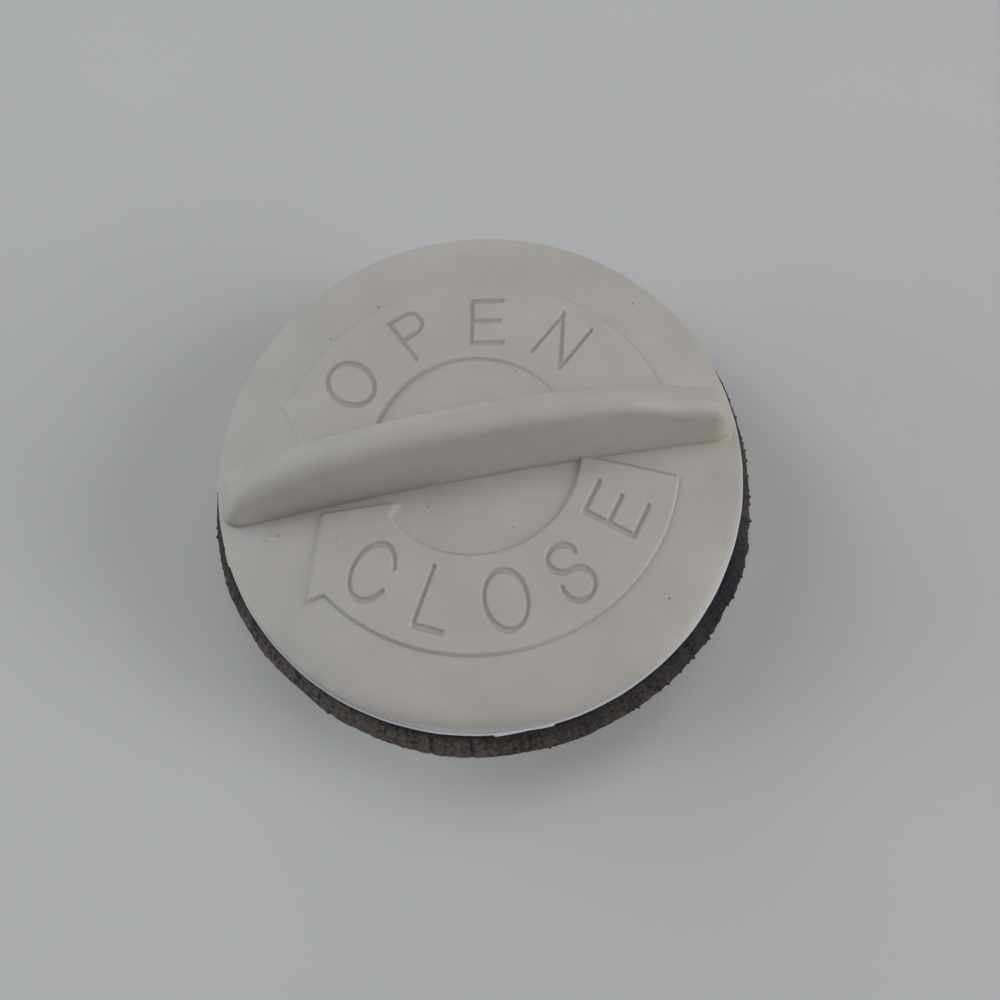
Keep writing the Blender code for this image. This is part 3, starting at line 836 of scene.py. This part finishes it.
def build_gasket():
    """The ring of sheet rubber: flat faces, a clean bore and a slanting, roughly cut outer wall."""
    chance = np.random.default_rng(7)
    degrees = np.arange(GASKET_AROUND) * 360 / GASKET_AROUND
    rough, score = cut_wall(chance, degrees)
    amiss = sum(much * bell(turned(degrees, middle), 0, span) for middle, span, much in CUT_AMISS)
    wall_tone = WALL_TONE + sum(much * bell(degrees, middle, span) for middle, span, much in WALL_TONE_PLACES)
    rings, tones = [], []
    for k, row in enumerate(rough):
        share = k / WALL_ROWS
        bulge = WALL_BULGE * smooth_step(share, 0.02, 0.22)
        radius = GASKET_TOP_RADIUS + (GASKET_FOOT_RADIUS - bulge - GASKET_TOP_RADIUS) * share + bulge
        uneven = 0.04 * blurred(chance.standard_normal(GASKET_AROUND), 6) * (0 < k)
        rings.append((radius + row + amiss, GASKET_TOP + (GASKET_FOOT - GASKET_TOP) * share + uneven))
        grain = 0.10 * score + 0.14 * blurred(chance.standard_normal(GASKET_AROUND), 2)
        # Painted shade: the cut wall is darkest, navy-black, at its top under the flange and lightens towards its
        # foot.
        tones.append((0.5 + grain) * wall_tone * smooth_step(share, 0.03, 0.35) * (0.6 + 1.1 * share))
    top, foot = rings[0][0], rings[-1][0]
    for radius, height in (
        (foot - 0.4, GASKET_FOOT), (foot - 1.4, GASKET_FOOT), (GASKET_BORE + 2.0, GASKET_FOOT),
        (GASKET_BORE + 0.1, GASKET_FOOT), (GASKET_BORE, GASKET_FOOT + 0.1), (GASKET_BORE, GASKET_TOP - 0.1),
        (GASKET_BORE + 0.1, GASKET_TOP), (GASKET_BORE + 2.0, GASKET_TOP), (top - 0.8, GASKET_TOP),
        (top - 0.12, GASKET_TOP),
    ):
        rings.append((radius, height))
        tones.append(0.5 + 0.1 * blurred(chance.standard_normal(GASKET_AROUND), 2))
    points = np.concatenate([round_ring(radius, height, degrees) for radius, height in rings])
    faces = []
    for k in range(len(rings)):
        faces += ring_faces(k * GASKET_AROUND, (k + 1) % len(rings) * GASKET_AROUND, GASKET_AROUND)
    gasket = to_object("gasket_ring", points, faces)
    gasket.data.shade_smooth()
    gasket.data.set_sharp_from_angle(angle=math.radians(50))
    number_attribute(gasket.data, "tone", np.clip(np.concatenate(tones), 0, 1))
    return gasket


# ---------------------------------------------------------------- materials


class Nodes:
    """A material's node tree, with short ways to add and join nodes."""

    def __init__(self, name):
        self.material = bpy.data.materials.new(name)
        self.material.use_nodes = True
        self.tree = self.material.node_tree
        self.shader = self.tree.nodes["Principled BSDF"]
        self.place = self.add("ShaderNodeTexCoord").outputs["Object"]

    def add(self, kind, **settings):
        """A new node with these settings."""
        node = self.tree.nodes.new(kind)
        for key, value in settings.items():
            setattr(node, key, value)
        return node

    def join(self, output, socket):
        self.tree.links.new(output, socket)

    def noise(self, scale, detail=3.0, roughness=0.5):
        """Noise over the piece, with this many features to the metre."""
        node = self.add("ShaderNodeTexNoise")
        node.inputs["Scale"].default_value = scale
        node.inputs["Detail"].default_value = detail
        node.inputs["Roughness"].default_value = roughness
        self.join(self.place, node.inputs["Vector"])
        return node.outputs["Fac"]

    def cells(self, scale):
        """Distance to the middle of the nearest of many small cells."""
        node = self.add("ShaderNodeTexVoronoi")
        node.inputs["Scale"].default_value = scale
        self.join(self.place, node.inputs["Vector"])
        return node.outputs["Distance"]

    def ramp(self, value, *stops):
        """A colour ramp over a value: (position, colour) stops."""
        node = self.add("ShaderNodeValToRGB")
        elements = node.color_ramp.elements
        while len(elements) < len(stops):
            elements.new(0.5)
        for element, (position, colour) in zip(elements, stops):
            element.position = position
            element.color = (*colour, 1.0)
        self.join(value, node.inputs["Fac"])
        return node.outputs["Color"]

    def span(self, value, low, high, to_low, to_high):
        """The value, mapped from one range to another and held at its ends."""
        node = self.add("ShaderNodeMapRange")
        for socket, number in zip(("From Min", "From Max", "To Min", "To Max"), (low, high, to_low, to_high)):
            node.inputs[socket].default_value = number
        self.join(value, node.inputs["Value"])
        return node.outputs["Result"]

    def mix(self, share, first, second):
        """A mix of two colours. Each of the three is a node's output or a fixed value."""
        node = self.add("ShaderNodeMix", data_type="RGBA")
        for socket, value in ((0, share), (6, first), (7, second)):
            if isinstance(value, tuple):
                node.inputs[socket].default_value = (*value, 1.0)
            elif isinstance(value, float):
                node.inputs[socket].default_value = value
            else:
                self.join(value, node.inputs[socket])
        return node.outputs[2]

    def attribute(self, name):
        """A number that the mesh carries at its points."""
        return self.add("ShaderNodeAttribute", attribute_name=name).outputs["Fac"]

    def bump(self, height, distance, strength=1.0, after=None):
        """A normal that follows this height, on top of another normal if one is given."""
        node = self.add("ShaderNodeBump")
        node.inputs["Distance"].default_value = distance
        node.inputs["Strength"].default_value = strength
        self.join(height, node.inputs["Height"])
        if after is not None:
            self.join(after, node.inputs["Normal"])
        return node.outputs["Normal"]

    def finish(self, colour, roughness, normal, specular):
        """The finished material."""
        self.shader.inputs["Specular IOR Level"].default_value = specular
        self.join(colour, self.shader.inputs["Base Color"])
        self.join(roughness, self.shader.inputs["Roughness"])
        self.join(normal, self.shader.inputs["Normal"])
        return self.material


def cap_plastic():
    """Satin warm grey plastic, mottled by the flow of the melt, with fine grain and specks, dirt and painted shade
    in its grooves and creases, and painted highlights along the rim and on the crown.
    """
    n = Nodes("cap_plastic")
    flow = n.noise(160, 4, 0.55)
    colour = n.ramp(flow, (0.3, (0.458, 0.439, 0.414)), (0.5, (0.484, 0.463, 0.436)), (0.7, (0.507, 0.486, 0.459)))
    grain = n.noise(2600, 2, 0.6)
    colour = n.mix(n.span(grain, 0.35, 0.65, 0.0, 0.10), colour, (0.40, 0.385, 0.36))
    colour = n.mix(n.span(n.cells(150), 0.012, 0.03, 0.35, 0.0), colour, (0.20, 0.185, 0.165))
    # Dirt and painted shade: darker towards brown-black where the mesh's number for dirt and painted shade is high.
    colour = n.mix(n.span(n.attribute("dirt_and_shade"), 0.0, 1.0, 0.0, 0.62), colour, (0.13, 0.122, 0.11))
    gate = n.ramp(n.noise(1300, 2, 0.5), (0.4, (0.50, 0.44, 0.34)), (0.6, (0.47, 0.41, 0.385)))
    colour = n.mix(n.span(n.attribute("gate"), 0.0, 1.0, 0.0, 0.75), colour, gate)
    # Pale flash along the rim, mostly a painted highlight, and a painted highlight patch on the crown.
    colour = n.mix(n.attribute("pale"), colour, (0.56, 0.58, 0.66))
    roughness = n.span(n.noise(900, 3, 0.6), 0.3, 0.7, 0.44, 0.58)
    normal = n.bump(n.noise(5200, 2, 0.6), 0.012 * MM, 0.6)
    normal = n.bump(n.noise(420, 2, 0.5), 0.03 * MM, 0.5, normal)
    return n.finish(colour, roughness, normal, 0.42)


def gasket_rubber():
    """Filled rubber sheet, cut roughly: dark, brown-grey along the cut, with reddish granules, and painted shade,
    navy-black, at the top of the cut under the flange.
    """
    n = Nodes("gasket_rubber")
    tone = n.attribute("tone")
    # The ramp's navy-black low end is the painted shade at the top of the cut wall.
    colour = n.ramp(tone, (0.0, (0.006, 0.007, 0.014)), (0.5, (0.066, 0.056, 0.051)), (0.9, (0.135, 0.114, 0.102)))
    colour = n.mix(n.span(n.cells(1500), 0.1, 0.6, 0.5, 0.0), colour, (0.028, 0.025, 0.025))
    patches = n.noise(330, 3, 0.6)
    colour = n.mix(n.span(patches, 0.58, 0.72, 0.0, 0.3), colour, (0.075, 0.040, 0.030))
    fine = n.noise(2400, 3, 0.7)
    colour = n.mix(n.span(fine, 0.55, 0.7, 0.0, 0.22), colour, (0.16, 0.14, 0.125))
    roughness = n.span(n.noise(1800, 3, 0.6), 0.3, 0.7, 0.78, 0.95)
    normal = n.bump(n.noise(3000, 4, 0.7), 0.10 * MM, 0.9)
    return n.finish(colour, roughness, normal, 0.12)


def table_top():
    """Smooth pale table, very slightly mottled."""
    n = Nodes("table_top")
    colour = n.ramp(n.noise(14, 3, 0.5), (0.3, (0.562, 0.577, 0.589)), (0.7, (0.578, 0.593, 0.604)))
    roughness = n.span(n.noise(40, 3, 0.5), 0.3, 0.7, 0.62, 0.7)
    normal = n.bump(n.noise(1500, 2, 0.5), 0.01 * MM, 0.3)
    return n.finish(colour, roughness, normal, 0.25)


def dress(piece, material, body, node):
    """Gives a piece its material, and its place in the frame."""
    piece.data.materials.clear()
    piece.data.materials.append(material)
    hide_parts(node)
    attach(piece, body)


# ---------------------------------------------------------------- stage, light and camera


def table():
    """The pale table that the object stands on."""
    line = np.linspace(-TABLE_HALF, TABLE_HALF, TABLE_STEPS + 1)
    row = len(line)
    faces = []
    for j in range(TABLE_STEPS):
        for i in range(TABLE_STEPS):
            first = j * row + i
            faces.append((first, first + 1, first + row + 1, first + row))
    made = to_object("table", [(x, y, FOOT) for y in line for x in line], faces)
    made.data.materials.append(table_top())


def direction(azimuth, elevation):
    """A unit vector in this direction, in degrees; azimuth is counter-clockwise from +X."""
    a, e = math.radians(azimuth), math.radians(elevation)
    return Vector((math.cos(e) * math.cos(a), math.cos(e) * math.sin(a), math.sin(e)))


def soft_box(name, azimuth, elevation, power, colour):
    """An area light that faces the object from this direction."""
    light = bpy.data.lights.new(name, "AREA")
    light.size = BOX_SIZE
    light.energy = power * BOX_DISTANCE**2
    light.color = colour
    way = direction(azimuth, elevation)
    lamp = bpy.data.objects.new(name, light)
    lamp.location = way * BOX_DISTANCE
    lamp.rotation_euler = way.to_track_quat("Z", "Y").to_euler()
    bpy.context.scene.collection.objects.link(lamp)


def room():
    """A pale room that is seen past the table's edge, but hardly lights the object."""
    world = bpy.data.worlds.new("room")
    world.use_nodes = True
    nodes, links = world.node_tree.nodes, world.node_tree.links
    background = nodes["Background"]
    background.inputs["Color"].default_value = ROOM_COLOUR
    strength = nodes.new("ShaderNodeMapRange")
    strength.inputs["To Min"].default_value = ROOM_LIGHT
    strength.inputs["To Max"].default_value = ROOM_SEEN
    links.new(nodes.new("ShaderNodeLightPath").outputs["Is Camera Ray"], strength.inputs["Value"])
    links.new(strength.outputs["Result"], background.inputs["Strength"])
    bpy.context.scene.world = world


def camera():
    """A close view from steeply above the near side, slightly rolled."""
    back = direction(CAMERA_AZIMUTH - 90, CAMERA_ELEVATION)
    data = bpy.data.cameras.new("camera")
    data.lens, data.sensor_width = CAMERA_LENS, CAMERA_SENSOR
    data.clip_start = 0.005
    upright = back.to_track_quat("Z", "Y").to_matrix()
    made = bpy.data.objects.new("camera", data)
    made.location = (Vector(CAMERA_AIM) + back * CAMERA_DISTANCE) * MM
    made.rotation_euler = (upright @ Matrix.Rotation(-math.radians(CAMERA_ROLL), 3, "Z")).to_euler()
    bpy.context.scene.collection.objects.link(made)
    bpy.context.scene.camera = made


camera()
for box_name, box in SOFT_BOXES.items():
    soft_box(box_name, *box)
room()
table()
dress(build_cap(), cap_plastic(), "cap", "cap")
dress(build_gasket(), gasket_rubber(), "gasket", "gasket")
bpy.context.scene.view_settings.view_transform = "Standard"
